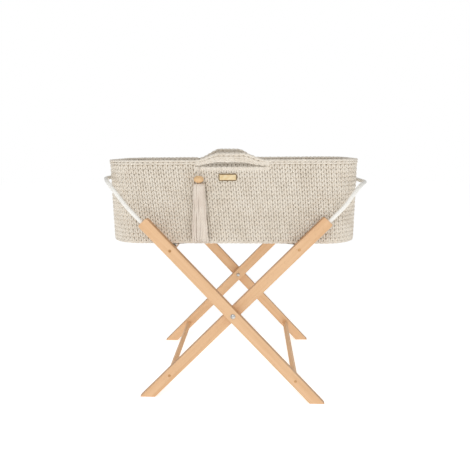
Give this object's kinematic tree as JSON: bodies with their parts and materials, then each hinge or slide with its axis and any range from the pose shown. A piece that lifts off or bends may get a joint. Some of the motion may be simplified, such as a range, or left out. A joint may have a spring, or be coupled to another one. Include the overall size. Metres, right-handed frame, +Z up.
{
  "type": "bassinet on stand",
  "caption": "Crocheted bassinet basket with arched handles and a tassel, on a folding crossed-leg wooden stand with end bows that cradle the basket.",
  "frame": {"origin": "on the floor, under the middle of the stand", "axes": "+Z up, +X along the basket, -Y the front, where the tassel and label are"},
  "size_m": [0.826, 0.488, 0.7803],
  "materials": {
    "beech": "clear satin oil",
    "white_coated_steel": "satin powder coat",
    "bronzed_screws": "bronzed",
    "pivot_steel": "zinc plated",
    "sling_canvas": "plain weave",
    "label_brass": "satin",
    "bead_wood": "waxed",
    "tassel_cotton": "soft twisted cotton",
    "mattress_cotton": "quilted cotton",
    "mattress_foam": "open foam",
    "cotton_cord": "matt crocheted cotton cord"
  },
  "bodies": {
    "outer_frame": {"outer_leg_front": "beech", "outer_leg_rear": "beech", "outer_upper_stretcher": "beech", "outer_lower_stretcher": "beech", "outer_frame_screws": "bronzed_screws", "outer_bow": "white_coated_steel", "pivot_bolt_front": "pivot_steel", "pivot_bolt_rear": "pivot_steel", "pivot_nuts": "pivot_steel", "pivot_washers": "pivot_steel"},
    "inner_frame": {"inner_leg_front": "beech", "inner_leg_rear": "beech", "inner_upper_stretcher": "beech", "inner_lower_stretcher": "beech", "inner_frame_screws": "bronzed_screws", "inner_bow": "white_coated_steel"},
    "sling": {"sling_cloth": "sling_canvas"},
    "basket": {"basket_base": "cotton_cord", "basket_wall": "cotton_cord", "rim_left": "cotton_cord", "rim_right": "cotton_cord", "slot_edge_front": "cotton_cord", "slot_edge_rear": "cotton_cord", "label_plate": "label_brass", "label_pins": "label_brass"},
    "handle_front": {"handle_front": "cotton_cord"},
    "handle_rear": {"handle_rear": "cotton_cord"},
    "tassel": {"tassel_loop": "tassel_cotton", "tassel_bead": "bead_wood", "tassel_binding": "tassel_cotton", "tassel_skirt": "tassel_cotton"},
    "mattress": {"mattress_cover": "mattress_cotton", "mattress_core": "mattress_foam"}
  },
  "joints": [
    {"name": "stand_fold", "type": "hinge", "parent": "outer_frame", "child": "inner_frame", "pos_m": [0, 0, 0.285], "axis": [0, -1, 0], "range_deg": [0, 80], "deforming": ["sling_cloth", "inner_bow"]},
    {"name": "stand_clearance", "type": "slide", "parent": "outer_frame", "child": "sling", "axis": [0, 0, 1], "range_m": [0, 0.406]},
    {"name": "basket_lift", "type": "slide", "parent": "sling", "child": "basket", "axis": [0, 0, 1], "range_m": [0, 0.4]},
    {"name": "front_handle_fold", "type": "hinge", "parent": "basket", "child": "handle_front", "pos_m": [-0.006, -0.186, 0.7418], "axis": [1, 0, 0], "range_deg": [-80, 80], "stiffness_Nm_per_rad": 0.06},
    {"name": "rear_handle_fold", "type": "hinge", "parent": "basket", "child": "handle_rear", "pos_m": [-0.034, 0.186, 0.7418], "axis": [-1, 0, 0], "range_deg": [-80, 80], "stiffness_Nm_per_rad": 0.06},
    {"name": "tassel_swing", "type": "hinge", "parent": "basket", "child": "tassel", "pos_m": [-0.098, -0.205, 0.7323], "axis": [0, 1, 0], "range_deg": [-25, 12]},
    {"name": "mattress_lift", "type": "slide", "parent": "basket", "child": "mattress", "axis": [0, 0, 1], "range_m": [0, 0.3]}
  ],
  "couplings": [
    {"joint": "stand_clearance", "follows": "stand_fold", "m_per_rad": 0.29}
  ]
}
